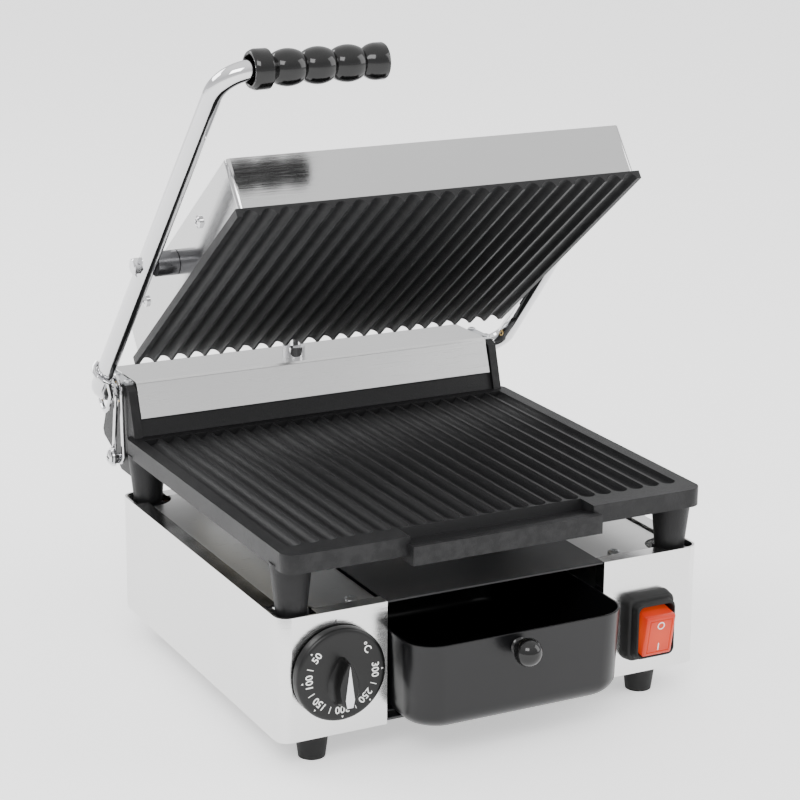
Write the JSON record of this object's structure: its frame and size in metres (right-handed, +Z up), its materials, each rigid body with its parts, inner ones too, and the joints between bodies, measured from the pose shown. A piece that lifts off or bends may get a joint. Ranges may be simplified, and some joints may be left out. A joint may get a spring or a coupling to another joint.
{
  "type": "panini press",
  "caption": "Countertop contact grill with ribbed cast plates, a counter-balanced lid on a bent chrome rod, pull-out grease drawer, thermostat knob and lit rocker switch",
  "frame": {"origin": "on the table plane, under the middle of the housing, midway between the four feet", "axes": "X runs to the grill's right as the user faces it, so the thermostat knob is at -X and the switch at +X. -Y is the front, with the drawer and the controls. Z is up."},
  "size_m": [0.3344, 0.3668, 0.4287],
  "materials": {
    "brushed_panel": "fine brushed stainless steel sheet",
    "polished_cover": "mirror-polished stainless steel sheet",
    "deck_steel": "plain stainless steel sheet",
    "black_sheet": "satin black enamel on sheet steel",
    "plain_steel": "zinc-plated steel",
    "enamelled_iron": "cast iron with satin black enamel, fine cast grain",
    "element_sheath": "dull oxidised steel sheath",
    "mineral_wool": "pressed mineral fibre board",
    "chrome_plate": "polished chrome plate",
    "dark_steel": "turned steel, blackened",
    "brass": "turned bearing brass",
    "spring_steel": "bright spring steel wire",
    "thermostat_body": "moulded switch housing",
    "copper": "drawn copper tube",
    "black_plastic": "moulded black plastic",
    "black_rubber": "moulded black rubber",
    "white_plastic": "moulded terminal block",
    "grip_plastic": "glossy black heat-proof plastic",
    "drawer_enamel": "semi-gloss black enamel",
    "dial_plastic": "satin black plastic with a printed white scale",
    "silver_plastic": "silver foil insert",
    "red_lens": "translucent red lens with a neon lamp behind it"
  },
  "bodies": {
    "base": {"left_panel": "brushed_panel", "right_panel": "brushed_panel", "rear_panel": "brushed_panel", "bottom_plate": "black_sheet", "inner_frame": "black_sheet", "top_deck": "deck_steel", "drip_shield": "black_sheet", "drawer_rail_left": "plain_steel", "drawer_rail_right": "plain_steel", "lower_plate": "enamelled_iron", "leg_bolts": "plain_steel", "element_lower": "element_sheath", "insulation_lower": "mineral_wool", "element_clamp_lower": "plain_steel", "element_screws_lower": "plain_steel", "rear_cover": "brushed_panel", "conduit_gland_rear": "chrome_plate", "conduit_lower": "chrome_plate", "hinge_bush_left": "brass", "hinge_bush_right": "brass", "hinge_keepers": "plain_steel", "keeper_screws": "plain_steel", "torsion_spring": "spring_steel", "spring_screw": "chrome_plate", "thermostat_body": "thermostat_body", "thermostat_bulb": "copper", "switch_body": "black_plastic", "switch_boot": "black_rubber", "feet": "black_rubber", "foot_screws": "plain_steel", "cable_gland": "black_plastic", "terminal_block": "white_plastic", "panel_screws": "plain_steel", "deck_screws": "plain_steel"},
    "arm": {"arm_rod": "chrome_plate", "handle_grip": "grip_plastic", "pivot_bolt_left": "chrome_plate", "pivot_bolt_right": "chrome_plate", "pivot_spacer_left": "dark_steel", "pivot_spacer_right": "dark_steel", "conduit_upper": "chrome_plate"},
    "lid": {"lid_cover": "polished_cover", "lid_bracket_left": "plain_steel", "lid_bracket_right": "plain_steel", "upper_plate": "enamelled_iron", "element_upper": "element_sheath", "insulation_upper": "mineral_wool", "element_clamp_upper": "plain_steel", "element_screws_upper": "plain_steel", "bracket_screws": "plain_steel", "lid_screws": "chrome_plate", "conduit_gland_lid": "chrome_plate"},
    "drawer": {"grease_drawer": "drawer_enamel", "drawer_ball_knob": "grip_plastic", "drawer_knob_screw": "plain_steel"},
    "knob": {"thermostat_shaft": "plain_steel", "thermostat_knob": "dial_plastic", "knob_pointer": "silver_plastic"},
    "rocker": {"rocker": "red_lens"}
  },
  "joints": [
    {"name": "arm_hinge", "type": "hinge", "parent": "base", "child": "arm", "pos_m": [0, 0.148, 0.167], "axis": [1, 0, 0], "range_deg": [0, 48.07], "stiffness_Nm_per_rad": 2.95, "springref_deg": -114.59, "deforming": ["torsion_spring", "conduit_lower"]},
    {"name": "lid_tilt", "type": "hinge", "parent": "arm", "child": "lid", "pos_m": [0, 0.0483, 0.27773], "axis": [1, 0, 0], "range_deg": [-10.9, 0], "deforming": ["conduit_upper"]},
    {"name": "drawer_slide", "type": "slide", "parent": "base", "child": "drawer", "axis": [0, -1, 0], "range_m": [0, 0.12]},
    {"name": "thermostat_turn", "type": "hinge", "parent": "base", "child": "knob", "pos_m": [-0.111, -0.13, 0.0618], "axis": [0, 1, 0], "range_deg": [0, 270]},
    {"name": "rocker_tilt", "type": "hinge", "parent": "base", "child": "rocker", "pos_m": [0.108, -0.1345, 0.0535], "axis": [1, 0, 0], "range_deg": [-20, 0]}
  ],
  "couplings": [
    {"joint": "lid_tilt", "follows": "arm_hinge", "ratio": -0.22416}
  ]
}
